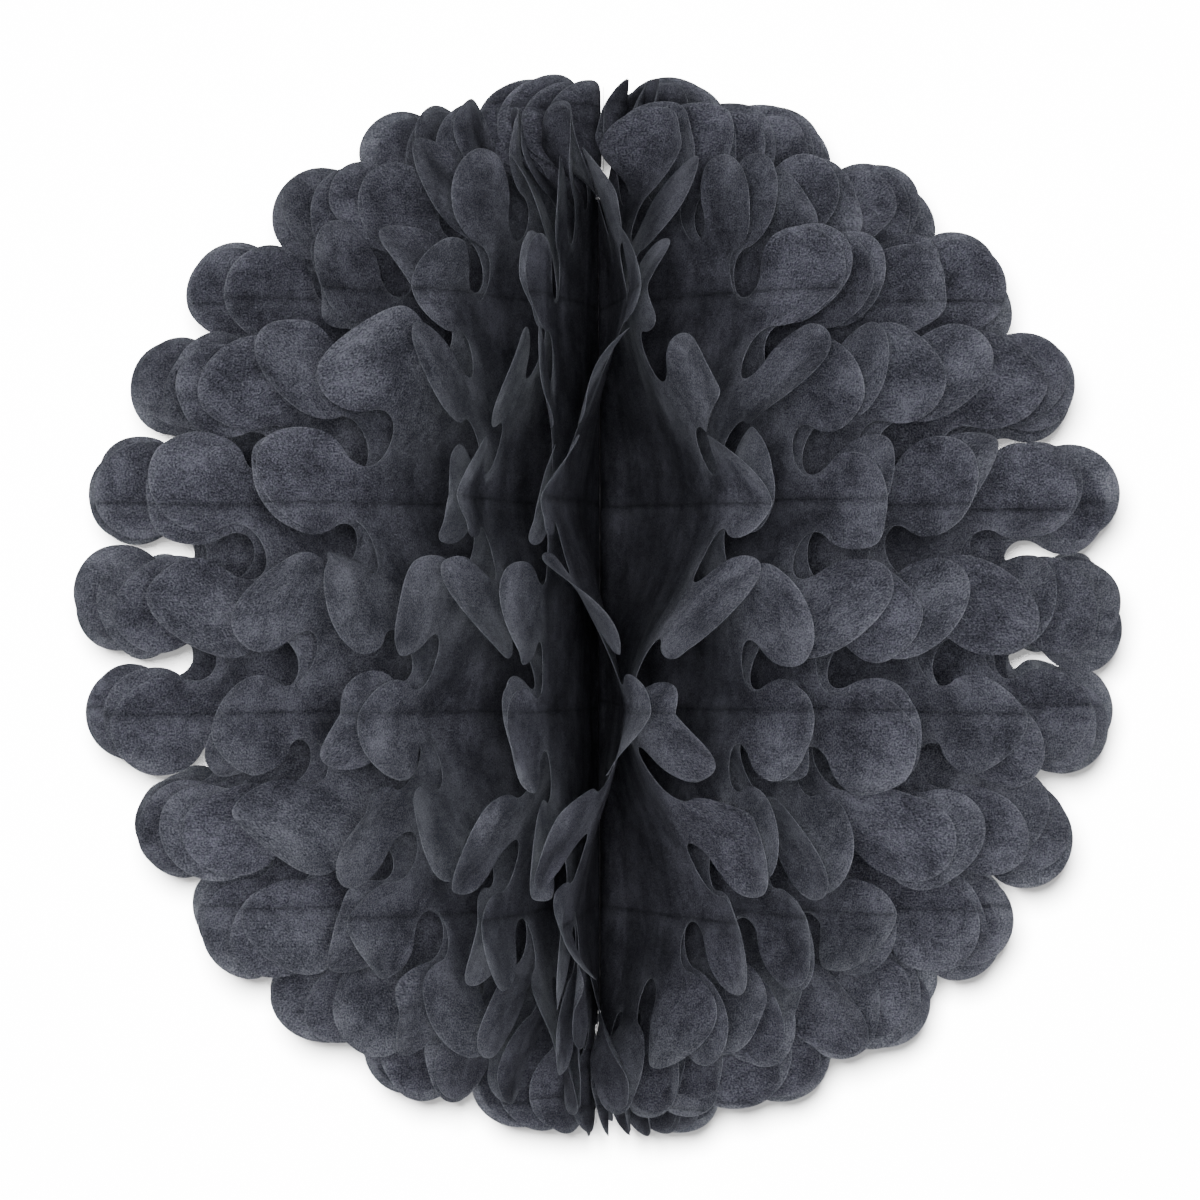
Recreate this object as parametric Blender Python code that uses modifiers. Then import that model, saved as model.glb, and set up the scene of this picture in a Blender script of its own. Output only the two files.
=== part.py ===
"""Paper honeycomb flutter ball, opened out, in metres with +Z up the spine and the front at -Y.

Forty-two die-cut tissue leaves stand round a bound spine. Neighbouring leaves are glued in lines across
their height, on one side at one set of heights and on the other side at the heights between, so each leaf
zigzags between two vanes and the gaps between leaves open into cells. The first and last leaves are glued
to two cover boards, which meet back to back behind the ball and are held by three adhesive pads.

Angles are measured round the spine from -Y towards +X.
"""

import math

import bmesh
import bpy
from mathutils import Matrix, Vector

# Leaf outline: round knobs joined by round bays, in millimetres
BALL_RADIUS = 241.5
KNOB_RADIUS = 21.5
BAY_FLOOR = 187.0
LOBES = 13
LOBE_PITCH = math.radians(13.45)
KNOB_SIDES = 5
LEAF_THICKNESS = 0.3

# The gap left between pieces that touch, and the spine
GAP = 0.3
SPINE_RADIUS = 4.6
LEAF_START = 5.0
FREE_RADIUS = 40.0
CORD_RADIUS = 0.9
KNOT_RADIUS = 3.2
SPINE_HALF_LENGTH = 184.0

# Glue lines, level across a leaf
GLUE_PITCH = 89.4

# Vanes, where two leaves meet, in degrees round the spine. Glue sides alternate from vane to vane.
SEAM = 180.0
FRONT_VANES = [-73.5, -63.1, -54.0, -42.8, -33.5, -23.1, -15.2, -6.4, -5.2, 4.8,
               16.9, 21.2, 28.1, 32.0, 40.6, 51.0, 60.5, 70.0, 77.0]
BACK_VANES = 10  # on each side, evenly spaced between the front vanes and the seam

# Cover boards, and the adhesive pads between them
BOARD_RADIUS = 178.0
BOARD_START = 22.0
BOARD_THICKNESS = 0.6
BOARD_STEPS = 40
PAD_THICKNESS = 0.4
PAD_SIZE = 22.0
PAD_CORNER = 3.0
PADS = {"upper_pad": 40.0, "middle_pad": 0.0, "lower_pad": -40.0}  # degrees above the equator
PAD_RING = 160.0
BOARD_GAP = PAD_THICKNESS + 2 * GAP
HANG_HOLE_RADIUS = 1.5
HANG_HOLE_FROM_SPINE = 30.0
HANG_HOLE_HEIGHT = 164.0
HANG_HOLE_SIDES = 16
CUTTER_DEPTH = 10.0

MM = 0.001
NAME = "paper_honeycomb_ball"


def material(name, colour, roughness, metallic=0.0):
    made = bpy.data.materials.new(name)
    made.use_nodes = True
    shader = made.node_tree.nodes["Principled BSDF"]
    shader.inputs["Base Color"].default_value = (*colour, 1.0)
    shader.inputs["Roughness"].default_value = roughness
    shader.inputs["Metallic"].default_value = metallic
    made.diffuse_color = (*colour, 1.0)
    return made


def clear_scene():
    for obj in list(bpy.data.objects):
        bpy.data.objects.remove(obj, do_unlink=True)


def add(name, data, finish, group):
    obj = bpy.data.objects.new(name, data)
    data.materials.append(finish)
    group.objects.link(obj)
    return obj


def arc(centre, radius, start, end, steps):
    """Points of an arc about centre, from one angle to another, both included."""
    angles = [start + (end - start) * i / steps for i in range(steps + 1)]
    return [centre + radius * Vector((math.cos(a), math.sin(a))) for a in angles]


def flats_round(centre, radius, start, end, sides):
    """The same arc as a run of flats: its ends lie on the circle, and its corners outside it."""
    points = arc(centre, radius, start, end, sides)
    corner = 1 / math.cos((end - start) / sides / 2)
    return [points[0], *[centre + (p - centre) * corner for p in points[1:-1]], points[-1]]


def leaf_outline():
    """The die-cut leaf, flat: x runs out from the spine and y up, in millimetres."""
    knob_ring = BALL_RADIUS - KNOB_RADIUS
    half = LOBE_PITCH / 2
    # A bay's circle rests on the bay floor and touches the knobs on both sides of it.
    chord = 2 * knob_ring * math.cos(half)
    floor = BAY_FLOOR
    bay_radius = ((floor * floor - floor * chord + knob_ring**2 - KNOB_RADIUS**2)
                  / (2 * KNOB_RADIUS - 2 * floor + chord))
    bay_ring = BAY_FLOOR + bay_radius
    bay_offset = bay_ring * Vector((math.cos(half), math.sin(half))) - Vector((knob_ring, 0))
    turn = math.atan2(bay_offset.y, bay_offset.x)
    points = []
    for i in range(LOBES):
        angle = (i - (LOBES - 1) / 2) * LOBE_PITCH
        out = Vector((math.cos(angle), math.sin(angle)))
        points += flats_round(knob_ring * out, KNOB_RADIUS, angle - turn, angle + turn, KNOB_SIDES)
        if i < LOBES - 1:
            points.append(BAY_FLOOR * Vector((math.cos(angle + half), math.sin(angle + half))))
    # The bays at the two ends of the spine are cut short by it.
    end = (LOBES / 2) * LOBE_PITCH
    centre = bay_ring * Vector((math.cos(end), math.sin(end)))
    top = centre.y - math.sqrt(bay_radius**2 - (centre.x - LEAF_START) ** 2)
    far = arc(centre, bay_radius, math.radians(-20), math.radians(-70), 1)
    close = [*far, Vector((LEAF_START, top))]
    points += close
    points += [Vector((p.x, -p.y)) for p in reversed(close)]
    return points


def glue_heights():
    return [GLUE_PITCH * (i - 2.5) for i in range(6)]


def flat_leaf():
    """The leaf as a flat mesh, cut along its glue lines and along the edge of its free part."""
    bm = bmesh.new()
    bm.faces.new([bm.verts.new((p.x, p.y, 0)) for p in leaf_outline()])
    cuts = [((0, height, 0), (0, 1, 0)) for height in glue_heights()[1:-1]]
    cuts.append(((FREE_RADIUS, 0, 0), (1, 0, 0)))
    for point, normal in cuts:
        whole = bm.verts[:] + bm.edges[:] + bm.faces[:]
        bmesh.ops.bisect_plane(bm, geom=whole, dist=1e-4, plane_co=point, plane_no=normal)
    bmesh.ops.triangulate(bm, faces=bm.faces[:])
    return bm


def vane_angles():
    """Every vane from the seam round to the seam again, in degrees."""
    left = [-SEAM + (FRONT_VANES[0] + SEAM) * i / (BACK_VANES + 1) for i in range(BACK_VANES + 1)]
    right = [SEAM - (SEAM - FRONT_VANES[-1]) * i / (BACK_VANES + 1) for i in range(BACK_VANES + 1)]
    return left + FRONT_VANES + right[::-1]


def leaf_bounds():
    """Where each leaf lies on its first and second glue lines, as (degrees, millimetres off that vane)."""
    vanes = vane_angles()
    beside_board = BOARD_GAP / 2 + BOARD_THICKNESS + GAP + LEAF_THICKNESS / 2
    pair = (GAP + LEAF_THICKNESS) / 2
    first = (-SEAM, beside_board)
    last = (SEAM, -beside_board)
    leaves = [(first, first)]
    for i in range(len(vanes) - 1):
        low = (vanes[i], pair if i else beside_board + 2 * pair)
        high = (vanes[i + 1], -pair if i < len(vanes) - 2 else -beside_board - 2 * pair)
        leaves.append((low, high) if i % 2 == 0 else (high, low))
    return leaves + [(last, last)]


def zigzag(height):
    """0 on the glue lines of the first set, 1 on those of the second, straight between them."""
    place = min(max(height / GLUE_PITCH + 2.5, 0.0), 5.0)
    step = int(min(place, 4.0))
    share = place - step
    return share if step % 2 == 0 else 1.0 - share


def leaf_mesh(name, flat, bounds, spine_angle):
    """The flat leaf carried to its place: along its two vanes by height, and evenly spread at the spine."""
    bm = flat.copy()
    (low, low_off), (high, high_off) = bounds
    for vert in bm.verts:
        radius, height = vert.co.x, vert.co.y
        share = zigzag(height)
        first = math.radians(low) + low_off / radius
        second = math.radians(high) + high_off / radius
        angle = first + (second - first) * share
        if low != high:
            inner = min(1.0, (radius - LEAF_START) / (FREE_RADIUS - LEAF_START))
            angle = spine_angle + (angle - spine_angle) * inner
        else:
            angle = math.radians(low) + math.asin(low_off / radius)
        vert.co = Vector((radius * math.sin(angle), -radius * math.cos(angle), height)) * MM
    mesh = bpy.data.meshes.new(name)
    bm.to_mesh(mesh)
    bm.free()
    return mesh


def make_leaves(finish, group):
    flat = flat_leaf()
    bounds = leaf_bounds()
    first = -math.pi + math.asin(bounds[0][0][1] / LEAF_START)
    step = -2 * first / (len(bounds) - 1)
    for i, sides in enumerate(bounds):
        name = f"leaf_{i + 1:02d}"
        obj = add(name, leaf_mesh(name, flat, sides, first + i * step), finish, group)
        shell = obj.modifiers.new("thickness", "SOLIDIFY")
        shell.thickness = LEAF_THICKNESS * MM
        shell.offset = 0
    flat.free()


def board_outline():
    """Most of half a disc, with its straight edge beside the spine, in millimetres."""
    reach = math.acos(BOARD_START / BOARD_RADIUS)
    return arc(Vector((0, 0)), BOARD_RADIUS, -reach, reach, BOARD_STEPS)


def make_board(name, side, finish, group, cutters):
    """A cover board, flat against the seam plane on one side of it, with a hole for a hanging thread."""
    bm = bmesh.new()
    face = bm.faces.new([bm.verts.new((0, p.x, p.y)) for p in board_outline()])
    grown = bmesh.ops.extrude_face_region(bm, geom=[face])["geom"]
    moved = [v for v in grown if isinstance(v, bmesh.types.BMVert)]
    bmesh.ops.translate(bm, verts=moved, vec=(BOARD_THICKNESS, 0, 0))
    bmesh.ops.transform(bm, matrix=Matrix.Scale(MM, 4), verts=bm.verts[:])
    bmesh.ops.recalc_face_normals(bm, faces=bm.faces[:])
    mesh = bpy.data.meshes.new(name)
    bm.to_mesh(mesh)
    bm.free()
    board = add(name, mesh, finish, group)
    board.location.x = (side * (BOARD_GAP + BOARD_THICKNESS) / 2 - BOARD_THICKNESS / 2) * MM

    bm = bmesh.new()
    bmesh.ops.create_cone(bm, cap_ends=True, segments=HANG_HOLE_SIDES, radius1=HANG_HOLE_RADIUS * MM,
                          radius2=HANG_HOLE_RADIUS * MM, depth=CUTTER_DEPTH * MM,
                          matrix=Matrix.Rotation(math.radians(90), 4, "Y"))
    mesh = bpy.data.meshes.new(name + "_hole")
    bm.to_mesh(mesh)
    bm.free()
    hole = bpy.data.objects.new(name + "_hole", mesh)
    hole.location = (0, HANG_HOLE_FROM_SPINE * MM, HANG_HOLE_HEIGHT * MM)
    hole.hide_render = True
    hole.display_type = "WIRE"
    cutters.objects.link(hole)
    cut = board.modifiers.new("hang_hole", "BOOLEAN")
    cut.operation = "DIFFERENCE"
    cut.object = hole


def turned(name, profile, finish, group, steps=24):
    """A solid turned about the spine from (radius, height) points, outer side top to bottom."""
    mesh = bpy.data.meshes.new(name)
    mesh.from_pydata([(r * MM, 0, z * MM) for r, z in profile],
                     [(i, i + 1) for i in range(len(profile) - 1)], [])
    obj = add(name, mesh, finish, group)
    screw = obj.modifiers.new("turn", "SCREW")
    screw.steps = screw.render_steps = steps
    screw.use_merge_vertices = True
    screw.merge_threshold = 1e-5
    return obj


def make_spine(glue, thread, group):
    """The glue that binds the leaves' straight edges, the cord up its middle, and the cord's two knots."""
    bore = CORD_RADIUS + GAP
    end = SPINE_HALF_LENGTH
    chamfer = 1.5
    turned("spine_glue", [(bore, end), (SPINE_RADIUS - chamfer, end), (SPINE_RADIUS, end - chamfer),
                          (SPINE_RADIUS, chamfer - end), (SPINE_RADIUS - chamfer, -end),
                          (bore, -end), (bore, end)], glue, group)
    turned("spine_cord", [(0, end), (CORD_RADIUS, end), (CORD_RADIUS, -end), (0, -end)], thread, group, 12)
    knot_steps = 6
    for name, side in (("top_knot", 1), ("bottom_knot", -1)):
        middle = side * (end + GAP + KNOT_RADIUS)
        profile = []
        for i in range(knot_steps + 1):
            angle = math.pi * i / knot_steps
            profile.append((KNOT_RADIUS * math.sin(angle), middle + KNOT_RADIUS * math.cos(angle)))
        profile[0] = (0, profile[0][1])
        profile[-1] = (0, profile[-1][1])
        turned(name, profile, thread, group, 12)


def make_pads(finish, group):
    """Square pads with rounded corners, midway between the boards."""
    for name, degrees_up in PADS.items():
        bm = bmesh.new()
        bmesh.ops.create_cube(bm, size=1.0)
        bmesh.ops.scale(bm, vec=(PAD_THICKNESS * MM, PAD_SIZE * MM, PAD_SIZE * MM), verts=bm.verts[:])
        corners = [e for e in bm.edges if abs(e.verts[0].co.x - e.verts[1].co.x) > PAD_THICKNESS * MM / 2]
        bmesh.ops.bevel(bm, geom=corners, offset=PAD_CORNER * MM, segments=3, profile=0.5,
                        affect="EDGES", material=-1)
        mesh = bpy.data.meshes.new(name)
        bm.to_mesh(mesh)
        bm.free()
        pad = add(name, mesh, finish, group)
        angle = math.radians(degrees_up)
        pad.location = Vector((0, PAD_RING * math.cos(angle), PAD_RING * math.sin(angle))) * MM
        pad.rotation_euler.x = angle


def main():
    clear_scene()
    group = bpy.data.collections.new(NAME)
    cutters = bpy.data.collections.new("cutters")
    for made in (group, cutters):
        bpy.context.scene.collection.children.link(made)
    tissue = material("tissue_paper", (0.045, 0.049, 0.060), 0.9)
    board = material("cover_board", (0.33, 0.31, 0.28), 0.85)
    pad = material("adhesive_pad", (0.80, 0.79, 0.74), 0.6)
    glue = material("spine_glue", (0.08, 0.08, 0.09), 0.45)
    thread = material("spine_thread", (0.05, 0.05, 0.06), 0.8)
    make_leaves(tissue, group)
    make_board("cover_board_fixed", -1, board, group, cutters)
    make_board("cover_board_swing", 1, board, group, cutters)
    make_spine(glue, thread, group)
    make_pads(pad, group)


main()
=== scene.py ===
"""The looks of a paper honeycomb flutter ball, opened out: tissue leaves, cover boards, pads, spine and cord.

Lengths are in millimetres until a mesh is finished, and angles are measured round the spine from -Y to +X.
"""

import math
import random

import bmesh
import bpy
import numpy as np
from mathutils import Matrix, Vector


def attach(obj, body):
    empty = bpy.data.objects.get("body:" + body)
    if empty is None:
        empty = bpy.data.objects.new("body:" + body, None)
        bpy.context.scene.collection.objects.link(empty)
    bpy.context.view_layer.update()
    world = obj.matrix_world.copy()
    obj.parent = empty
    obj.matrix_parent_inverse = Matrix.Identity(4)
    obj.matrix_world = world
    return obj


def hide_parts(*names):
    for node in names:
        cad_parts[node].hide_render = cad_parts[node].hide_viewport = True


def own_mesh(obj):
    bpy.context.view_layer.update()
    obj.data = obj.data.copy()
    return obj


MM = 0.001

# The die-cut leaf: round knobs joined by round bays
BALL_RADIUS = 241.5
KNOB_RADIUS = 21.5
BAY_FLOOR = 187.0
LOBES = 13
MIDDLE_LOBE = LOBES // 2
LOBE_PITCH = math.radians(13.45)
LEAF_START = 5.0
TISSUE = 0.16
RIM_REACH = 20.0

# How finely a leaf is ruled into cells, and where it creases
ROW_STEP = 4.0
COLUMN_STEP = 5.0
ARC_STEP = math.radians(5.0)
CREASE_ANGLE = math.radians(50.0)

# Glue lines up the leaf, how unevenly they are laid, and how straight the paper keeps between them
GLUE_PITCH = 89.4
GLUE_LINES = 6
GLUE_GAP = 0.16
LINE_SLIP = 1.3
LINE_SLOPE = 0.011
LINE_PIVOT = 150.0
STRAIGHT_SHARE = 0.3

# Vanes, where two leaves meet: the angle at the middle height, and the lean for each 100 mm of height
SEAM = 180.0
FRONT_VANES = [(-73.5, 0.0), (-63.1, 2.8), (-54.0, -0.3), (-42.8, 1.7), (-33.5, -2.0), (-23.1, 0.0),
               (-15.2, -1.5), (-6.4, -1.0), (-5.2, -0.5), (4.8, 0.6), (16.9, 0.3), (21.2, 4.4), (28.1, 2.0),
               (32.0, 3.6), (40.6, 0.4), (51.0, -1.9), (60.5, 3.0), (70.0, 0.0), (77.0, 0.0)]
BACK_VANES = 10
LEAN_LOWEST = -60.0
LEAN_HIGHEST = 140.0

# How far a board's leaf is from the middle plane, and how far out the others stand clear of the spine's fan
LEAF_AT_BOARD = 1.55
FREE_RADIUS = 40.0

# How the paper sways round the spine, in degrees; the waves round the spine are (turns, degrees)
LEAN_WAVES = ((5, 2.3), (9, 1.3), (15, 0.6))
TWIST_WAVES = ((6, 2.0), (10, 1.0), (16, 0.4))
FLARE = 4.0
FLARE_ANGLE = math.radians(17.0)
POLE_SWIRL = 14.0
POLE_LOBE = 35.5
WANDER = 1.8
WANDER_LENGTH = 230.0
CRUMPLE = 0.13
CRUMPLE_LENGTH = 46.0

# Where each kind of sway fades in: out from the middle, near the poles, and away from the seam
WANDER_RADII = (40.0, 160.0)
CRUMPLE_RADII = (60.0, 200.0)
POLE_HEIGHTS = (178.0, 205.0)
POLE_RADII = (100.0, 55.0)
SEAM_DEGREES = (2.0, 28.0)

# Where one lobe's bend gives way to the next, in lobe pitches, and how far past its side a twist goes on
LOBE_BLEND = (0.32, 0.68)
TWIST_REACH = 1.4

# How one leaf strays from the next: up the spine, tipped, drawn in, and each lobe of it drooped or curled
LEAF_SLIP = 1.6
LEAF_TIP = 0.007
LEAF_SHORT = 0.007
LOBE_DROOP = 3.2
LOBE_CURL = 2.8

# Shares of the room between a leaf's vanes: each loose lobe's lean, twist and cup, and its wall's ripple
LOBE_FLUTTER = (0.45, 0.30, 0.30)
WALL_RIPPLE = 0.05
WALL_LENGTH = 120.0
WALL_RADII = (40.0, 120.0)

# How far apart, in metres, the stretches of paper of neighbouring leaves are taken
PAPER_SHIFT = 0.61

# The spine: its glue bead, the two strands of its cord, and the knots
SPINE_RADIUS = 4.6
SPINE_HALF_LENGTH = 184.0
SPINE_BORE = 1.2
GLUE_GROOVES = 42
GLUE_RINGS = 150
GROOVE_DEPTH = 0.22
LUMP = 0.35
STRAND_RADIUS = 0.44
STRAND_PITCH = 4.0
STRAND_STEPS = 12
KNOT_RADIUS = 3.2
KNOT_GAP = 0.3
KNOT_STRAND = 0.82
KNOT_STEPS = 72

# The camera, and the stage round the ball
CAMERA_DISTANCE = 2.5
CAMERA_AIM = 0.0023
FRAME_TANGENT = 0.1090
SENSOR = 36.0
BACKDROP_AT = 0.27
BACKDROP_SIZE = 1.4
FLOOR_HEIGHT = -0.62
FLOOR_SIZE = 5.0
WHITE = 12.0


# ---------------------------------------------------------------- the flat leaf

def bay_circle():
    """The radius of a bay's circle, and how far its centre is from the spine's middle."""
    knob_ring = BALL_RADIUS - KNOB_RADIUS
    chord = 2 * knob_ring * math.cos(LOBE_PITCH / 2)
    gap = BAY_FLOOR * BAY_FLOOR - BAY_FLOOR * chord + knob_ring**2 - KNOB_RADIUS**2
    radius = gap / (2 * KNOB_RADIUS - 2 * BAY_FLOOR + chord)
    return radius, BAY_FLOOR + radius


def arc(centre, radius, start, end):
    """Points along an arc, both its ends included."""
    steps = max(1, round(abs(end - start) / ARC_STEP))
    angles = [start + (end - start) * i / steps for i in range(steps + 1)]
    return [centre + radius * Vector((math.cos(a), math.sin(a))) for a in angles]


def leaf_outline():
    """The cut edge of a flat leaf: x runs out from the spine, y up it."""
    knob_ring = BALL_RADIUS - KNOB_RADIUS
    half = LOBE_PITCH / 2
    bay_radius, bay_ring = bay_circle()
    to_bay = bay_ring * Vector((math.cos(half), math.sin(half))) - Vector((knob_ring, 0))
    turn = math.atan2(to_bay.y, to_bay.x)
    reach = turn - half
    points = []
    for i in range(LOBES):
        angle = (i - MIDDLE_LOBE) * LOBE_PITCH
        out = Vector((math.cos(angle), math.sin(angle)))
        points += arc(knob_ring * out, KNOB_RADIUS, angle - turn, angle + turn)
        if i < LOBES - 1:
            middle = angle + half
            out = Vector((math.cos(middle), math.sin(middle)))
            inward = middle + math.pi
            points += arc(bay_ring * out, bay_radius, inward + reach, inward - reach)[1:-1]
    end = (LOBES / 2) * LOBE_PITCH
    centre = bay_ring * Vector((math.cos(end), math.sin(end)))
    drop = math.asin((centre.x - LEAF_START) / bay_radius)
    last = arc(centre, bay_radius, end + math.pi + reach, math.pi * 1.5 - drop)[1:]
    points += last
    points += [Vector((p.x, -p.y)) for p in reversed(last)]
    return points


def put_in_order(bm):
    """Sorts faces by their corners, because some operators leave them in a different order each run."""
    bm.verts.index_update()
    count = len(bm.verts)

    def rank(face):
        first, second, third = sorted(vert.index for vert in face.verts)[:3]
        return float((first * count + second) * count + third)

    bm.faces.sort(key=rank)


def flat_leaf():
    """One leaf, cut out and ruled into small cells, with both its faces and its edge."""
    bm = bmesh.new()
    bm.faces.new([bm.verts.new((p.x, p.y, 0)) for p in leaf_outline()])
    rows = int(BALL_RADIUS / ROW_STEP)
    columns = int(BALL_RADIUS / COLUMN_STEP)
    cuts = [((0, (i + 0.2) * ROW_STEP, 0), (0, 1, 0)) for i in range(-rows, rows + 1)]
    cuts += [(((i + 0.2) * COLUMN_STEP, 0, 0), (1, 0, 0)) for i in range(2, columns + 1)]
    for point, normal in cuts:
        whole = bm.verts[:] + bm.edges[:] + bm.faces[:]
        bmesh.ops.bisect_plane(bm, geom=whole, dist=1e-3, plane_co=point, plane_no=normal)
    bmesh.ops.solidify(bm, geom=bm.faces[:], thickness=TISSUE)
    bmesh.ops.translate(bm, verts=bm.verts[:], vec=(0, 0, -sum(v.co.z for v in bm.verts) / len(bm.verts)))
    bmesh.ops.recalc_face_normals(bm, faces=bm.faces[:])
    put_in_order(bm)
    return bm


def near_lobes(x, y):
    """The lobes below and above each place, each with its share and how far across it the place is."""
    turn = np.arctan2(y, x) / LOBE_PITCH + MIDDLE_LOBE
    low = np.clip(np.floor(turn), 0, LOBES - 2).astype(int)
    share = smooth(*LOBE_BLEND, turn - low)
    below = np.clip((turn - low) * 2, -TWIST_REACH, 1.0)
    above = np.clip((turn - low - 1) * 2, -1.0, TWIST_REACH)
    return (low, 1 - share, below), (low + 1, share, above)


def by_lobe(values, x, y):
    """Each lobe's own value, blended across the bays."""
    return sum(share * np.array(values)[lobe] for lobe, share, _ in near_lobes(x, y))


def distance_from_edge(x, y):
    """How far each place on a flat leaf is from its cut edge, up to RIM_REACH."""
    bay_radius, bay_ring = bay_circle()
    knob = np.clip(np.round(np.arctan2(y, x) / LOBE_PITCH), -MIDDLE_LOBE, MIDDLE_LOBE) * LOBE_PITCH
    bay = (np.floor(np.arctan2(y, x) / LOBE_PITCH) + 0.5) * LOBE_PITCH
    knob_ring = BALL_RADIUS - KNOB_RADIUS
    from_knob = np.hypot(x - knob_ring * np.cos(knob), y - knob_ring * np.sin(knob))
    from_bay = np.hypot(x - bay_ring * np.cos(bay), y - bay_ring * np.sin(bay))
    body = np.where(np.hypot(x, y) < knob_ring, from_bay - bay_radius, 0.0)
    return np.clip(np.maximum(KNOB_RADIUS - from_knob, body), 0.0, RIM_REACH)


# ---------------------------------------------------------------- how a leaf stands in the ball

def vane_list():
    """Every vane from the seam round to the seam again, as (angle, lean)."""
    first, last = FRONT_VANES[0][0], FRONT_VANES[-1][0]
    left = [(-SEAM + (first + SEAM) * i / (BACK_VANES + 1), 0.0) for i in range(BACK_VANES + 1)]
    right = [(SEAM - (SEAM - last) * i / (BACK_VANES + 1), 0.0) for i in range(BACK_VANES + 1)]
    return left + FRONT_VANES + right[::-1]


def smooth(low, high, value):
    """0 at low and 1 at high, with no corner at either."""
    share = np.clip((value - low) / (high - low), 0.0, 1.0)
    return share * share * (3 - 2 * share)


def glue_lines(number, r):
    """The heights of a leaf's glue lines at each radius. Both leaves of a vane have the same lines there."""
    lines = []
    for i in range(GLUE_LINES):
        vane = number + (number + i) % 2
        draw = random.Random(f"glue line {i} of vane {vane}")
        height = (i - (GLUE_LINES - 1) / 2) * GLUE_PITCH + draw.gauss(0, LINE_SLIP)
        lines.append(height + draw.gauss(0, LINE_SLOPE) * (r - LINE_PIVOT))
    return lines


def place_up(number, r, z):
    """Where a height is among the leaf's glue lines: 0 on the lowest, 1 on the next, and so on."""
    lines = glue_lines(number, r)
    place = sum(np.clip((z - low) / (high - low), 0.0, 1.0) for low, high in zip(lines, lines[1:]))
    return place + (np.minimum(z - lines[0], 0.0) + np.maximum(z - lines[-1], 0.0)) / GLUE_PITCH


def zigzag(place):
    """0 on the even glue lines and 1 on the odd ones; the paper bows between them."""
    place = np.clip(place, 0.0, GLUE_LINES - 1.0)
    step = np.minimum(np.floor(place), GLUE_LINES - 2.0)
    share = place - step
    share = STRAIGHT_SHARE * share + (1 - STRAIGHT_SHARE) * (0.5 - 0.5 * np.cos(np.pi * share))
    return np.where(step % 2 == 0, share, 1.0 - share)


def ripple(seed, r, z, length, angle=0.0, turns=0.0, count=5):
    """A smooth wandering value of about -1 to 1 over the leaves, with waves about length long."""
    draw = random.Random(seed)
    total = np.zeros_like(r)
    for _ in range(count):
        way = draw.uniform(0, math.pi)
        wave = 2 * math.pi / (length * draw.uniform(0.7, 1.6))
        phase = draw.uniform(0, 2 * math.pi) + draw.uniform(-turns, turns) * angle
        total += np.sin(wave * (r * math.cos(way) + z * math.sin(way)) + phase)
    return total / count * 1.4


def lobe_waves(seed, waves, lobe, angle):
    """A value that wanders round the spine, differently for each lobe."""
    draw = random.Random(seed)
    total = np.zeros_like(angle)
    for turns, size in waves:
        phases = np.array([draw.uniform(0, 2 * math.pi) for _ in range(LOBES)])
        total += size * np.sin(turns * angle + phases[lobe])
    return total


def sway(angle, r, z):
    """How far the paper at each angle has swayed round the spine. Near leaves sway alike, as they touch."""
    loose = smooth(BAY_FLOOR, BALL_RADIUS + 20.0, np.hypot(r, z))
    lean = FLARE * np.tanh(angle / FLARE_ANGLE)
    for lobe, share, across in near_lobes(r, z):
        lean += share * lobe_waves("lean B", LEAN_WAVES, lobe, angle)
        lean += share * across * lobe_waves("twist B", TWIST_WAVES, lobe, angle)
    body = WANDER * ripple("wander", r, z, WANDER_LENGTH, angle, 6.0) * smooth(*WANDER_RADII, r)
    crumple = CRUMPLE * ripple("crumple", r, z, CRUMPLE_LENGTH, angle, 30.0, 7)
    body += crumple * smooth(*CRUMPLE_RADII, np.hypot(r, z))
    side = np.clip((POLE_LOBE - r) / KNOB_RADIUS, -1.0, 1.0)
    swirl = POLE_SWIRL * side * (1 + 0.4 * np.sin(angle + np.sign(z)))
    body += swirl * smooth(*POLE_HEIGHTS, np.abs(z)) * smooth(*POLE_RADII, r)
    from_seam = smooth(*SEAM_DEGREES, SEAM - np.degrees(np.abs(angle)))
    return np.radians(from_seam * (body + loose * lean))


def flutter(number, r, z):
    """How far each loose lobe of a leaf stands out of line, as a share of the room between its vanes."""
    draw = random.Random(f"lobes {number}")
    leans, twists, cups = (np.array([draw.gauss(0, size) for _ in range(LOBES)]) for size in LOBE_FLUTTER)
    total = np.zeros_like(r)
    for lobe, share, across in near_lobes(r, z):
        total += share * (leans[lobe] + twists[lobe] * across + cups[lobe] * (across**2 - 0.4))
    return total * smooth(BAY_FLOOR - 9.0, BALL_RADIUS + 20.5, np.hypot(r, z))


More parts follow.
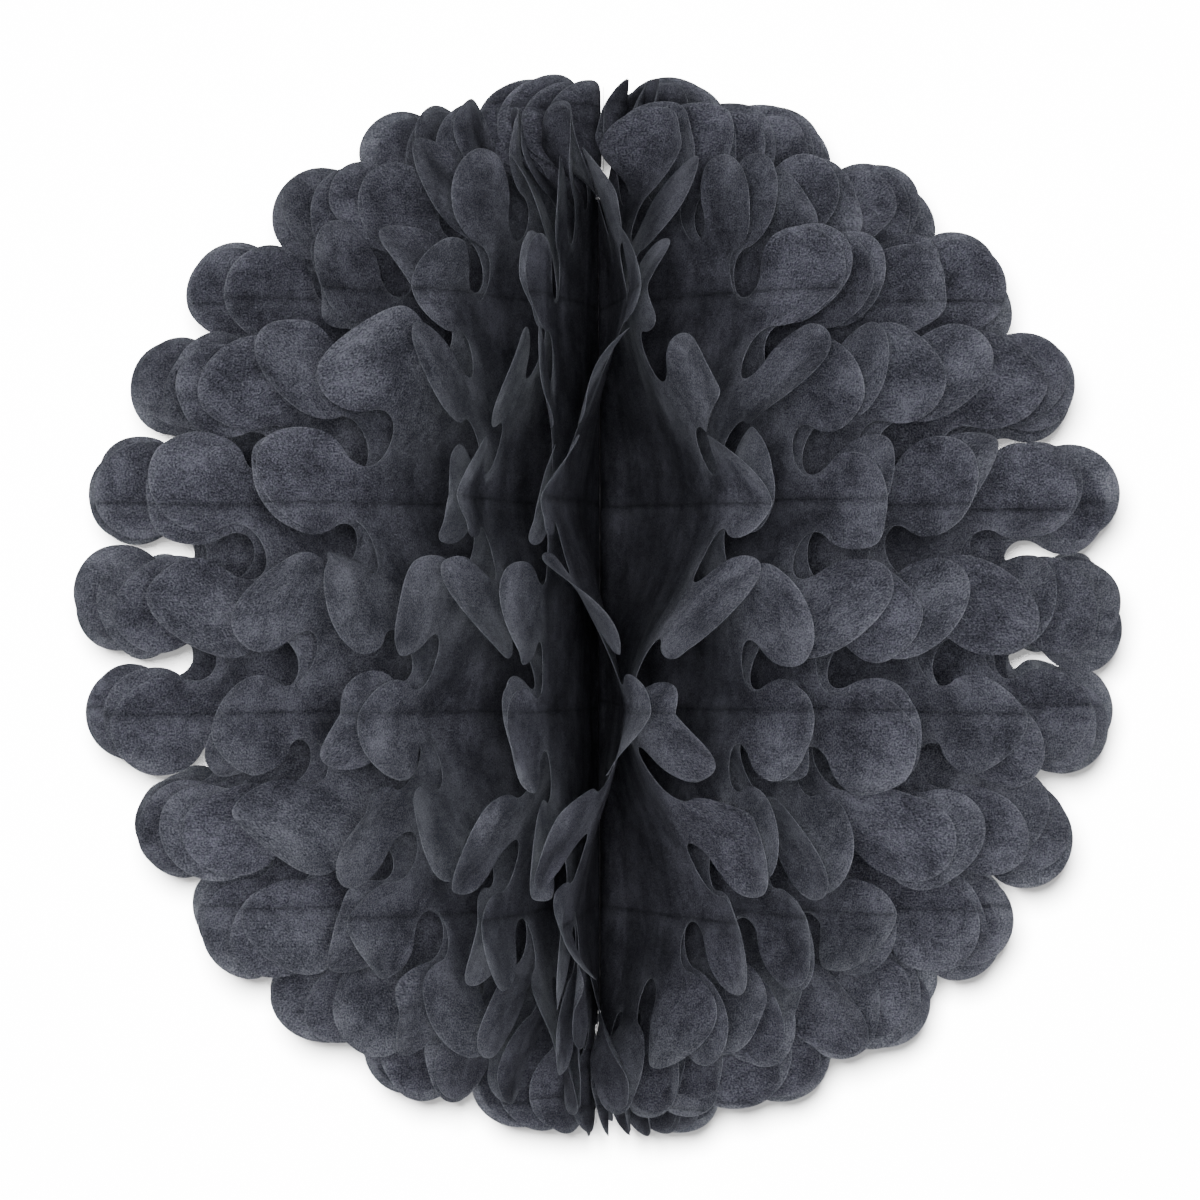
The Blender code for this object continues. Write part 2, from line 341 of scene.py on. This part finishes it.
def stand_leaf(number, flat, vanes, spine_angle):
    """The corners in the ball of the leaf between two vanes, from its flat ones, and their places up it."""
    draw = random.Random(f"leaf {number}")
    slip = draw.gauss(0, LEAF_SLIP)
    tip = draw.gauss(0, LEAF_TIP)
    short = abs(draw.gauss(0, LEAF_SHORT))
    out, up = flat[:, 0], flat[:, 1]
    r = out * (1 - short * out / BALL_RADIUS)
    z = up * (1 - 0.5 * short) + slip + tip * r
    loose = smooth(BAY_FLOOR - 12.0, BALL_RADIUS, np.hypot(out, up))
    droops = loose * by_lobe([draw.gauss(0, LOBE_DROOP) for _ in range(LOBES)], out, up)
    curls = loose * by_lobe([abs(draw.gauss(0, LOBE_CURL)) for _ in range(LOBES)], out, up)
    turn = np.arctan2(up, out)
    r = r - curls * np.cos(turn) - droops * np.sin(turn)
    z = z - curls * np.sin(turn) + droops * np.cos(turn)
    climb = np.clip(z, LEAN_LOWEST, LEAN_HIGHEST) / 100.0
    low = np.radians(vanes[number][0] + vanes[number][1] * climb) + GLUE_GAP / r
    high = np.radians(vanes[number + 1][0] + vanes[number + 1][1] * climb) - GLUE_GAP / r
    if number == 0:
        low = low + (LEAF_AT_BOARD + GLUE_GAP) / r
    if number == len(vanes) - 2:
        high = high - (LEAF_AT_BOARD + GLUE_GAP) / r
    place = place_up(number, r, z)
    share = zigzag(place)
    if number % 2:
        share = 1.0 - share
    share = share + flutter(number, r, z) * (0.15 + share * (1 - share) * 2.2)
    share = share + WALL_RIPPLE * ripple(f"wall {number}", r, z, WALL_LENGTH) * smooth(*WALL_RADII, r)
    angle = low + (high - low) * np.clip(share, 0.0, 1.0)
    angle = angle + sway(angle, r, z)
    inner = np.clip((r - LEAF_START) / (FREE_RADIUS - LEAF_START), 0.0, 1.0)
    angle = spine_angle + (angle - spine_angle) * inner + flat[:, 2] / r
    return np.stack([r * np.sin(angle), -r * np.cos(angle), z], axis=1) * MM, place


def board_leaf(offset, flat):
    """Corners of a leaf glued flat to a cover board, and their places up it."""
    corners = np.stack([-offset + flat[:, 2], np.sqrt(flat[:, 0] ** 2 - offset**2), flat[:, 1]], axis=1) * MM
    return corners, flat[:, 1] / GLUE_PITCH + (GLUE_LINES - 1) / 2


def show(name, mesh, *finishes):
    """A finished mesh as an object in the scene."""
    for finish in finishes:
        mesh.materials.append(finish)
    obj = bpy.data.objects.new(name, mesh)
    bpy.context.scene.collection.objects.link(obj)
    return obj


def set_values(mesh, name, values):
    """Keeps a number for each of a mesh's points, for its material to read."""
    made = mesh.attributes.new(name, "FLOAT", "POINT")
    made.data.foreach_set("value", values.astype(np.float32))


def flat_leaf_mesh():
    """The flat leaf with a UV map in metres, and its corners in millimetres."""
    bm = flat_leaf()
    mesh = bpy.data.meshes.new("flat leaf")
    bm.to_mesh(mesh)
    bm.free()
    flat = np.zeros(len(mesh.vertices) * 3, np.float32)
    mesh.vertices.foreach_get("co", flat)
    flat = flat.reshape(-1, 3).astype(float)
    corner = np.zeros(len(mesh.loops), np.int32)
    mesh.loops.foreach_get("vertex_index", corner)
    uv = mesh.uv_layers.new(name="flat")
    uv.data.foreach_set("uv", (flat[corner][:, :2] * MM).astype(np.float32).ravel())
    set_values(mesh, "rim", distance_from_edge(flat[:, 0], flat[:, 1]) * MM)
    return mesh, flat


def leaf_mesh(name, flat_mesh, number, corners, place):
    """A leaf's mesh in its place, with its own stretch of paper and its creases where it bends."""
    mesh = flat_mesh.copy()
    mesh.name = name
    mesh.vertices.foreach_set("co", corners.astype(np.float32).ravel())
    mesh.update()
    mesh.shade_smooth()
    mesh.set_sharp_from_angle(angle=CREASE_ANGLE)
    set_values(mesh, "place", place)
    layer = mesh.uv_layers["flat"]
    uv = np.zeros(len(mesh.loops) * 2, np.float32)
    layer.data.foreach_get("uv", uv)
    uv[0::2] += PAPER_SHIFT * number
    layer.data.foreach_set("uv", uv)
    return mesh


def make_leaves(tissue):
    """All the leaves: the first and last flat on their boards, and the others standing between vanes."""
    flat_mesh, flat = flat_leaf_mesh()
    vanes = vane_list()
    count = len(vanes) + 1
    first = -math.pi + math.asin(LEAF_AT_BOARD / LEAF_START)
    for i in range(count):
        node = f"leaf_{i + 1:02d}"
        offset = LEAF_AT_BOARD * (1 - 2 * i / (count - 1))
        if i in (0, count - 1):
            corners, place = board_leaf(offset, flat)
            body = "fixed_side" if i == 0 else "swing_side"
        else:
            corners, place = stand_leaf(i - 1, flat, vanes, first * (1 - 2 * i / (count - 1)))
            body = node + "_body"
        leaf = show("tissue_" + node, leaf_mesh("tissue_" + node, flat_mesh, i, corners, place), tissue)
        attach(leaf, body)
        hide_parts(node)
        if 0 < i < count - 1:
            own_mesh(leaf)
    bpy.data.meshes.remove(flat_mesh)


# ---------------------------------------------------------------- the spine

def turned(name, profile, steps):
    """A closed solid turned about the spine from its profile of (radius, height) points."""
    bm = bmesh.new()
    verts = [bm.verts.new((radius, 0, height)) for radius, height in profile]
    edges = [bm.edges.new((a, b)) for a, b in zip(verts, verts[1:] + verts[:1])]
    bmesh.ops.spin(bm, geom=verts + edges, cent=(0, 0, 0), axis=(0, 0, 1), angle=2 * math.pi, steps=steps,
                   use_merge=True)
    bmesh.ops.recalc_face_normals(bm, faces=bm.faces[:])
    put_in_order(bm)
    mesh = bpy.data.meshes.new(name)
    bm.to_mesh(mesh)
    bm.free()
    return mesh


def make_spine_glue(glue):
    """A brushed-on bead, grooved where the leaves' straight edges run into it."""
    end = SPINE_HALF_LENGTH
    heights = [end - 2 * end * i / GLUE_RINGS for i in range(GLUE_RINGS + 1)]
    profile = [(SPINE_RADIUS, z) for z in heights] + [(SPINE_BORE, -end), (SPINE_BORE, end)]
    mesh = turned("glue_bead", profile, 3 * GLUE_GROOVES)
    draw = random.Random("glue bead")
    phases = [draw.uniform(0, 2 * math.pi) for _ in range(6)]
    for vert in mesh.vertices:
        x, y, z = vert.co
        radius = math.hypot(x, y)
        if radius < SPINE_BORE + 0.5:
            continue
        angle = math.atan2(y, x)
        groove = GROOVE_DEPTH * (0.5 + 0.5 * math.cos(GLUE_GROOVES * angle))
        lump = sum(math.sin(z * k * 0.11 + p + (k % 3) * angle) for k, p in enumerate(phases, 1)) / 6
        round_end = max(0.0, abs(z) - end + 2.5) / 2.5
        size = SPINE_RADIUS - 0.42 - groove + LUMP * lump - 1.3 * round_end * round_end
        size = min(size, SPINE_RADIUS)
        vert.co = Vector((x / radius * size, y / radius * size, z))
    mesh.transform(Matrix.Scale(MM, 4))
    mesh.shade_smooth()
    piece = show("glue_bead", mesh, glue)
    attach(piece, "fixed_side")
    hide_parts("spine_glue")


def tube(name, points, radius, closed=False):
    """A round strand along points in millimetres, as a mesh with closed ends."""
    curve = bpy.data.curves.new(name, "CURVE")
    curve.dimensions = "3D"
    curve.bevel_depth = radius
    curve.bevel_resolution = 2
    curve.use_fill_caps = True
    spline = curve.splines.new("POLY")
    spline.points.add(len(points) - 1)
    spline.use_cyclic_u = closed
    for point, place in zip(spline.points, points):
        point.co = (*place, 1)
    made = bpy.data.objects.new(name, curve)
    bpy.context.scene.collection.objects.link(made)
    bpy.context.view_layer.update()
    mesh = bpy.data.meshes.new_from_object(made.evaluated_get(bpy.context.evaluated_depsgraph_get()))
    bpy.data.objects.remove(made)
    bpy.data.curves.remove(curve)
    bm = bmesh.new()
    bm.from_mesh(mesh)
    bmesh.ops.remove_doubles(bm, verts=bm.verts[:], dist=1e-4)
    bmesh.ops.recalc_face_normals(bm, faces=bm.faces[:])
    bm.to_mesh(mesh)
    bm.free()
    mesh.name = name
    mesh.shade_smooth()
    return mesh


def joined(name, meshes):
    """Several meshes in millimetres as one, in metres."""
    bm = bmesh.new()
    for part in meshes:
        bm.from_mesh(part)
        bpy.data.meshes.remove(part)
    bmesh.ops.scale(bm, vec=(MM, MM, MM), verts=bm.verts[:])
    mesh = bpy.data.meshes.new(name)
    bm.to_mesh(mesh)
    bm.free()
    mesh.shade_smooth()
    return mesh


def make_cord(thread):
    """Two strands twisted together through the bead, and a thumb knot at each end."""
    end = SPINE_HALF_LENGTH
    steps = round(2 * end / STRAND_PITCH * STRAND_STEPS)
    strands = []
    for side in (0, math.pi):
        points = []
        for i in range(steps + 1):
            turn = 2 * math.pi * i / STRAND_STEPS + side
            points.append((STRAND_RADIUS * math.cos(turn), STRAND_RADIUS * math.sin(turn),
                           -end + STRAND_RADIUS + (2 * end - 2 * STRAND_RADIUS) * i / steps))
        strands.append(tube("strand", points, STRAND_RADIUS))
    cord = show("twisted_cord", joined("twisted_cord", strands), thread)
    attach(cord, "fixed_side")
    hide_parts("spine_cord")
    for name, node, side in (("knot_at_top", "top_knot", 1), ("knot_at_bottom", "bottom_knot", -1)):
        middle = side * (end + KNOT_GAP + KNOT_RADIUS)
        loop = []
        for i in range(KNOT_STEPS):
            turn = 2 * math.pi * i / KNOT_STEPS
            reach = 0.30 * KNOT_RADIUS * (2.0 + 0.9 * math.cos(3 * turn))
            loop.append((reach * math.cos(2 * turn), reach * math.sin(2 * turn) * 0.92,
                         middle + 0.52 * KNOT_RADIUS * math.sin(3 * turn)))
        knot = show(name, joined(name, [tube("loop", loop, KNOT_STRAND, closed=True)]), thread)
        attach(knot, "fixed_side")
        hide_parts(node)


# ---------------------------------------------------------------- material nodes

def new_material(name, roughness, specular):
    """A new material, with its node tree and its shader."""
    made = bpy.data.materials.new(name)
    made.use_nodes = True
    shader = made.node_tree.nodes["Principled BSDF"]
    shader.inputs["Roughness"].default_value = roughness
    shader.inputs["Specular IOR Level"].default_value = specular
    return made, made.node_tree, shader


def node(tree, kind, **settings):
    """A new node, with its settings made."""
    made = tree.nodes.new(kind)
    for key, value in settings.items():
        setattr(made, key, value)
    return made


def feed(tree, place, value):
    """Sets a socket to a number or a colour, or links a socket to it."""
    if isinstance(value, (int, float)):
        place.default_value = value
    elif isinstance(value, tuple):
        place.default_value = (*value, 1) if len(place.default_value) > len(value) else value
    else:
        tree.links.new(value, place)


def noise(tree, vector, scale, detail, roughness=0.5):
    """Soft noise of 0 to 1."""
    made = node(tree, "ShaderNodeTexNoise")
    feed(tree, made.inputs["Vector"], vector)
    feed(tree, made.inputs["Scale"], scale)
    feed(tree, made.inputs["Detail"], detail)
    feed(tree, made.inputs["Roughness"], roughness)
    return made.outputs["Fac"]


def calc(tree, operation, *values, clamp=False):
    """A Math node on sockets and numbers."""
    made = node(tree, "ShaderNodeMath", operation=operation, use_clamp=clamp)
    for place, value in zip(made.inputs, values):
        feed(tree, place, value)
    return made.outputs[0]


def fading(tree, distance, reach):
    """1 where a distance is nothing, falling to 0 at its reach."""
    return calc(tree, "SUBTRACT", 1.0, calc(tree, "DIVIDE", distance, reach), clamp=True)


def ramp(tree, value, *stops):
    """A colour ramp of (position, colour) stops."""
    made = node(tree, "ShaderNodeValToRGB")
    elements = made.color_ramp.elements
    while len(elements) < len(stops):
        elements.new(0.5)
    for element, (position, colour) in zip(elements, stops):
        element.position = position
        element.color = (*colour, 1)
    feed(tree, made.inputs["Fac"], value)
    return made.outputs["Color"]


def blend_colour(tree, share, low, high, kind="MIX"):
    """One colour over another by a share of 0 to 1."""
    made = node(tree, "ShaderNodeMix", data_type="RGBA", blend_type=kind)
    for place, value in ((made.inputs[0], share), (made.inputs[6], low), (made.inputs[7], high)):
        feed(tree, place, value)
    return made.outputs[2]


def bumped(tree, shader, height, strength, distance):
    """Relief on a shader from a height; returns its normal."""
    bump = node(tree, "ShaderNodeBump")
    feed(tree, bump.inputs["Height"], height)
    feed(tree, bump.inputs["Strength"], strength)
    feed(tree, bump.inputs["Distance"], distance)
    feed(tree, shader.inputs["Normal"], bump.outputs["Normal"])
    return bump.outputs["Normal"]


def new_group(name, inputs, outputs):
    """A shader node group with float or vector inputs and float outputs; returns it and its inner sockets."""
    group = bpy.data.node_groups.new(name, "ShaderNodeTree")
    for socket, kind in inputs:
        group.interface.new_socket(socket, in_out="INPUT", socket_type=kind)
    for socket in outputs:
        group.interface.new_socket(socket, in_out="OUTPUT", socket_type="NodeSocketFloat")
    return group, node(group, "NodeGroupInput").outputs, node(group, "NodeGroupOutput").inputs


def paper_fibre_group():
    """Fibres, felt and clouds of a sheet of paper as a tone round 0.5, and a relief for its bump."""
    inputs = [("Vector", "NodeSocketVector")]
    inputs += [(scale, "NodeSocketFloat") for scale in ("Fine", "Felt", "Cloud")]
    group, given, made = new_group("paper fibre", inputs, ["Tone", "Relief", "Cloud"])
    vector = given["Vector"]
    fibre = noise(group, vector, given["Fine"], 2.0, 0.7)
    felt = noise(group, vector, given["Felt"], 4.0, 0.68)
    cloud = noise(group, vector, given["Cloud"], 4.0, 0.6)
    tone = calc(group, "MULTIPLY_ADD", calc(group, "SUBTRACT", fibre, 0.5), 1.70, 0.5)
    tone = calc(group, "MULTIPLY_ADD", calc(group, "SUBTRACT", felt, 0.5), 0.60, tone)
    tone = calc(group, "MULTIPLY_ADD", calc(group, "SUBTRACT", cloud, 0.5), 1.10, tone)
    feed(group, made["Tone"], tone)
    feed(group, made["Relief"], calc(group, "MULTIPLY_ADD", felt, 0.6, calc(group, "MULTIPLY", fibre, 0.4)))
    feed(group, made["Cloud"], cloud)
    return group


def paper_fibre(tree, group, vector, fine, felt, cloud):
    """The fibre group placed in a material, with its own scales."""
    made = node(tree, "ShaderNodeGroup", node_tree=group)
    for name, value in (("Vector", vector), ("Fine", fine), ("Felt", felt), ("Cloud", cloud)):
        feed(tree, made.inputs[name], value)
    return made.outputs


def object_place(tree):
    """Coordinates on the object, in metres."""
    return node(tree, "ShaderNodeTexCoord").outputs["Object"]


def stretched(tree, vector, scale):
    """Coordinates scaled along each axis."""
    made = node(tree, "ShaderNodeMapping")
    feed(tree, made.inputs["Vector"], vector)
    made.inputs["Scale"].default_value = scale
    return made.outputs["Vector"]


# ---------------------------------------------------------------- materials

def tissue_material(fibres):
    """Dyed tissue: fine felted fibres, soft clouds, pressed glue lines with painted crease shade and a
    painted highlight below, and pale cut edges with painted rim highlights.
    """
    made, tree, shader = new_material("slate tissue", 0.90, 0.20)
    flat = node(tree, "ShaderNodeUVMap", uv_map="flat").outputs["UV"]
    paper = paper_fibre(tree, fibres, flat, 1250.0, 260.0, 42.0)
    tone = paper["Tone"]
    colour = ramp(tree, tone, (0.10, (0.014, 0.015, 0.019)), (0.50, (0.068, 0.072, 0.088)),
                  (0.90, (0.190, 0.200, 0.236)))
    warm = calc(tree, "MULTIPLY_ADD", noise(tree, flat, 620.0, 2.0, 0.6), 2.4, -0.8, clamp=True)
    colour = blend_colour(tree, warm, colour, (0.98, 0.86, 1.0), "MULTIPLY")
    speck = calc(tree, "GREATER_THAN", noise(tree, flat, 560.0, 1.0), 0.745)
    colour = blend_colour(tree, calc(tree, "MULTIPLY", speck, 0.30), colour, (0.30, 0.31, 0.34))

    place = node(tree, "ShaderNodeAttribute", attribute_name="place").outputs["Fac"]
    waver = calc(tree, "MULTIPLY_ADD", noise(tree, flat, 22.0, 3.0), 0.020, -0.010)
    place = calc(tree, "ADD", place, waver)
    off = calc(tree, "SUBTRACT", calc(tree, "WRAP", calc(tree, "ADD", place, 0.5), 1.0, 0.0), 0.5)
    off = calc(tree, "MULTIPLY", off, GLUE_PITCH * MM)
    patchy = calc(tree, "MULTIPLY_ADD", noise(tree, flat, 38.0, 2.0), 1.9, -0.35, clamp=True)
    # The glue line is darkened partly as dark glue and partly as painted shade in its crease, and the soft
    # halo round it is painted shade.
    line = calc(tree, "MULTIPLY", fading(tree, calc(tree, "ABSOLUTE", off), 0.0011), patchy)
    crease_shade = fading(tree, calc(tree, "ABSOLUTE", off), 0.0042)
    glue_and_crease_shade = calc(tree, "MULTIPLY_ADD", crease_shade, 0.26, calc(tree, "MULTIPLY", line, 0.55), clamp=True)
    colour = blend_colour(tree, glue_and_crease_shade, colour, (0.016, 0.017, 0.022))
    # A lighter band just below each glue line: a painted highlight where the crease catches the light.
    below = fading(tree, calc(tree, "ABSOLUTE", calc(tree, "ADD", off, 0.0034)), 0.0022)
    below = calc(tree, "MULTIPLY", below, calc(tree, "MULTIPLY", patchy, 0.16))
    colour = blend_colour(tree, below, colour, (0.20, 0.21, 0.24))

    rim = node(tree, "ShaderNodeAttribute", attribute_name="rim").outputs["Fac"]
    ragged = calc(tree, "MULTIPLY_ADD", noise(tree, flat, 900.0, 2.0), 0.0012, -0.0002)
    edge = calc(tree, "LESS_THAN", rim, ragged)
    # The pale line at the cut edge is partly paler cut fibre and partly a painted highlight on the lit rims;
    # the soft band inside it is a painted highlight.
    pale = calc(tree, "MULTIPLY_ADD", edge, 0.15, calc(tree, "MULTIPLY", fading(tree, rim, 0.0034), 0.05))
    colour = blend_colour(tree, pale, colour, (0.25, 0.26, 0.29))
    feed(tree, shader.inputs["Base Color"], colour)
    relief = calc(tree, "MULTIPLY_ADD", line, -0.5, paper["Relief"])
    normal = bumped(tree, shader, relief, 0.45, 0.0008)

    through = node(tree, "ShaderNodeBsdfTranslucent")
    formation = ramp(tree, calc(tree, "MULTIPLY_ADD", calc(tree, "SUBTRACT", tone, 0.5), 1.3, 0.5),
                     (0.10, (0.42, 0.44, 0.50)), (0.90, (0.95, 0.98, 1.0)))
    feed(tree, through.inputs["Color"], formation)
    feed(tree, through.inputs["Normal"], normal)
    both = node(tree, "ShaderNodeMixShader")
    both.inputs["Fac"].default_value = 0.40
    feed(tree, both.inputs[1], shader.outputs["BSDF"])
    feed(tree, both.inputs[2], through.outputs["BSDF"])
    feed(tree, tree.nodes["Material Output"].inputs["Surface"], both.outputs["Shader"])
    return made


def board_material(fibres):
    """Charcoal card: pressed fibres, rubbed lighter in patches, with a grey core where it is cut."""
    made, tree, shader = new_material("charcoal card", 0.78, 0.30)
    here = object_place(tree)
    paper = paper_fibre(tree, fibres, stretched(tree, here, (1.0, 0.5, 1.0)), 1500.0, 420.0, 26.0)
    colour = ramp(tree, paper["Tone"], (0.20, (0.030, 0.031, 0.036)), (0.50, (0.062, 0.064, 0.073)),
                  (0.80, (0.120, 0.123, 0.135)))
    fleck = calc(tree, "GREATER_THAN", noise(tree, stretched(tree, here, (1.0, 1.0, 0.25)), 900.0, 1.0), 0.70)
    colour = blend_colour(tree, calc(tree, "MULTIPLY", fleck, 0.4), colour, (0.20, 0.20, 0.21))
    rubbed = calc(tree, "MULTIPLY_ADD", noise(tree, here, 55.0, 5.0, 0.7), 3.0, -1.55, clamp=True)
    colour = blend_colour(tree, calc(tree, "MULTIPLY", rubbed, 0.25), colour, (0.16, 0.16, 0.17))
    facing = node(tree, "ShaderNodeSeparateXYZ")
    feed(tree, facing.inputs[0], node(tree, "ShaderNodeTexCoord").outputs["Normal"])
    core = calc(tree, "LESS_THAN", calc(tree, "ABSOLUTE", facing.outputs["X"]), 0.5)
    colour = blend_colour(tree, calc(tree, "MULTIPLY", core, 0.8), colour, (0.20, 0.19, 0.18))
    feed(tree, shader.inputs["Base Color"], colour)
    feed(tree, shader.inputs["Roughness"], calc(tree, "MULTIPLY_ADD", rubbed, 0.12, 0.72))
    bumped(tree, shader, paper["Relief"], 0.4, 0.0006)
    return made


def pad_material():
    """White double-sided foam tape: fine cells, with a little dirt in patches."""
    made, tree, shader = new_material("foam tape", 0.62, 0.35)
    here = object_place(tree)
    cells = node(tree, "ShaderNodeTexVoronoi", feature="F1")
    feed(tree, cells.inputs["Vector"], here)
    feed(tree, cells.inputs["Scale"], 1400.0)
    pore = cells.outputs["Distance"]
    colour = ramp(tree, pore, (0.10, (0.60, 0.585, 0.54)), (0.60, (0.80, 0.79, 0.75)))
    grime = calc(tree, "MULTIPLY_ADD", noise(tree, here, 160.0, 4.0, 0.65), 2.2, -1.1, clamp=True)
    colour = blend_colour(tree, calc(tree, "MULTIPLY", grime, 0.35), colour, (0.45, 0.43, 0.39))
    feed(tree, shader.inputs["Base Color"], colour)
    feed(tree, shader.inputs["Roughness"], calc(tree, "MULTIPLY_ADD", grime, 0.2, 0.55))
    bumped(tree, shader, pore, 0.5, 0.0003)
    return made


def glue_material(fibres):
    """Dried binding glue, tinted by the dye and full of torn tissue fibres."""
    made, tree, shader = new_material("binding glue", 0.42, 0.06)
    here = object_place(tree)
    paper = paper_fibre(tree, fibres, stretched(tree, here, (1.0, 1.0, 0.3)), 900.0, 240.0, 60.0)
    colour = ramp(tree, paper["Tone"], (0.22, (0.004, 0.004, 0.005)), (0.55, (0.010, 0.010, 0.012)),
                  (0.82, (0.040, 0.041, 0.045)))
    feed(tree, shader.inputs["Base Color"], colour)
    feed(tree, shader.inputs["Roughness"], calc(tree, "ADD", paper["Cloud"], 0.10, clamp=True))
    bumped(tree, shader, paper["Relief"], 0.5, 0.0007)
    return made


def thread_material(fibres):
    """Dyed cotton thread: soft fibres along the twist, and paler fluff."""
    made, tree, shader = new_material("dyed cotton", 0.85, 0.25)
    shader.inputs["Sheen Weight"].default_value = 0.25
    shader.inputs["Sheen Roughness"].default_value = 0.5
    here = object_place(tree)
    paper = paper_fibre(tree, fibres, stretched(tree, here, (1.0, 1.0, 0.35)), 5200.0, 1500.0, 220.0)
    colour = ramp(tree, paper["Tone"], (0.22, (0.020, 0.021, 0.026)), (0.55, (0.055, 0.057, 0.067)),
                  (0.82, (0.17, 0.175, 0.19)))
    feed(tree, shader.inputs["Base Color"], colour)
    bumped(tree, shader, paper["Relief"], 0.6, 0.0003)
    return made


def finish_nodes(nodes, names, finish):
    """Gives CAD nodes that stay as they are their finish."""
    for name in names:
        nodes[name].data.materials.clear()
        nodes[name].data.materials.append(finish)


# ---------------------------------------------------------------- stage

def make_camera():
    """A long lens, level with the ball."""
    data = bpy.data.cameras.new("camera")
    data.sensor_width = SENSOR
    data.lens = SENSOR / 2 / FRAME_TANGENT
    camera = bpy.data.objects.new("camera", data)
    camera.location = (0, -CAMERA_DISTANCE, CAMERA_AIM)
    camera.rotation_euler = (math.pi / 2, 0, 0)
    bpy.context.scene.collection.objects.link(camera)
    bpy.context.scene.camera = camera


def make_world():
    """White all round: soft as light, and bright as a background."""
    world = bpy.data.worlds.new("studio")
    bpy.context.scene.world = world
    world.use_nodes = True
    tree = world.node_tree
    back = tree.nodes["Background"]
    back.inputs["Color"].default_value = (1, 1, 1, 1)
    back.inputs["Strength"].default_value = 0.25
    seen = node(tree, "ShaderNodeBackground")
    seen.inputs["Color"].default_value = (1, 1, 1, 1)
    seen.inputs["Strength"].default_value = WHITE
    mix = node(tree, "ShaderNodeMixShader")
    feed(tree, mix.inputs["Fac"], node(tree, "ShaderNodeLightPath").outputs["Is Camera Ray"])
    feed(tree, mix.inputs[1], back.outputs["Background"])
    feed(tree, mix.inputs[2], seen.outputs["Background"])
    feed(tree, tree.nodes["World Output"].inputs["Surface"], mix.outputs["Shader"])


def disc_light(name, place, size, power):
    """A round lamp, turned to the ball's middle."""
    data = bpy.data.lights.new(name, "AREA")
    data.shape = "DISK"
    data.size = size
    data.energy = power
    lamp = bpy.data.objects.new(name, data)
    lamp.location = place
    lamp.rotation_euler = (-Vector(place)).to_track_quat("-Z", "Y").to_euler()
    bpy.context.scene.collection.objects.link(lamp)
    return lamp


def make_lights():
    """Two soft lamps in front, weaker ones at the sides and below, and one behind that shows through."""
    disc_light("left", (-2.0, -1.6, 1.7), 1.2, 29.0)
    disc_light("right", (2.1, -1.6, 0.8), 1.2, 15.0)
    disc_light("low", (-0.3, -2.4, -1.6), 1.0, 14.0)
    disc_light("front left", (-0.26, -3.2, 0.15), 0.6, 43.0)
    disc_light("front right", (0.26, -3.2, 0.0), 0.6, 43.0)
    disc_light("back", (0.0, 2.6, 0.0), 1.8, 95.0)


def plane(name, size, finish, matrix):
    """A square that belongs to the stage."""
    bm = bmesh.new()
    bmesh.ops.create_grid(bm, x_segments=1, y_segments=1, size=size / 2, matrix=matrix)
    mesh = bpy.data.meshes.new(name)
    bm.to_mesh(mesh)
    bm.free()
    made = show(name, mesh, finish)
    return made


def make_stage():
    """A pale floor, and a white backdrop seen only from its front, with a lamp of its own for the shadow."""
    floor_paint, _, _ = new_material("pale floor", 0.8, 0.2)
    floor_paint.node_tree.nodes["Principled BSDF"].inputs["Base Color"].default_value = (0.88, 0.88, 0.88, 1)
    plane("floor", FLOOR_SIZE, floor_paint, Matrix.Translation((0, 0, FLOOR_HEIGHT)))

    paint, tree, shader = new_material("white backdrop", 1.0, 0.0)
    shader.inputs["Base Color"].default_value = (0.3, 0.3, 0.3, 1)
    shader.inputs["Emission Color"].default_value = (1, 1, 1, 1)
    shader.inputs["Emission Strength"].default_value = WHITE * 0.02
    clear = node(tree, "ShaderNodeBsdfTransparent")
    sides = node(tree, "ShaderNodeMixShader")
    feed(tree, sides.inputs["Fac"], node(tree, "ShaderNodeNewGeometry").outputs["Backfacing"])
    feed(tree, sides.inputs[1], shader.outputs["BSDF"])
    feed(tree, sides.inputs[2], clear.outputs["BSDF"])
    feed(tree, tree.nodes["Material Output"].inputs["Surface"], sides.outputs["Shader"])
    upright = Matrix.Translation((0, BACKDROP_AT, 0)) @ Matrix.Rotation(math.radians(90), 4, "X")
    backdrop = plane("backdrop", BACKDROP_SIZE, paint, upright)
    backdrop.visible_diffuse = False
    backdrop.visible_glossy = False
    backdrop.visible_transmission = False
    backdrop.visible_shadow = False
    lamp = disc_light("shadow lamp", (-0.030, -CAMERA_DISTANCE, 0.075), 0.13, 3900.0)
    only = bpy.data.collections.new("lit by the shadow lamp")
    only.objects.link(backdrop)
    lamp.light_linking.receiver_collection = only


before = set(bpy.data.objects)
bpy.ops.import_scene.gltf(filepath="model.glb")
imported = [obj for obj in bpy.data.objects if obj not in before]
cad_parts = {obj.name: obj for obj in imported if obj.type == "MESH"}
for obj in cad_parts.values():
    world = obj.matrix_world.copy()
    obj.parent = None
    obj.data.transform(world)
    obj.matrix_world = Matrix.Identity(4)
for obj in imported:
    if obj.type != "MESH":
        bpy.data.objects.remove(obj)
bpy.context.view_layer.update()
make_camera()
make_world()
make_lights()
make_stage()
fibres = paper_fibre_group()
thread = thread_material(fibres)
make_leaves(tissue_material(fibres))
make_spine_glue(glue_material(fibres))
make_cord(thread)
finish_nodes(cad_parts, ["cover_board_fixed", "cover_board_swing"], board_material(fibres))
finish_nodes(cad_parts, ["upper_pad", "middle_pad", "lower_pad"], pad_material())
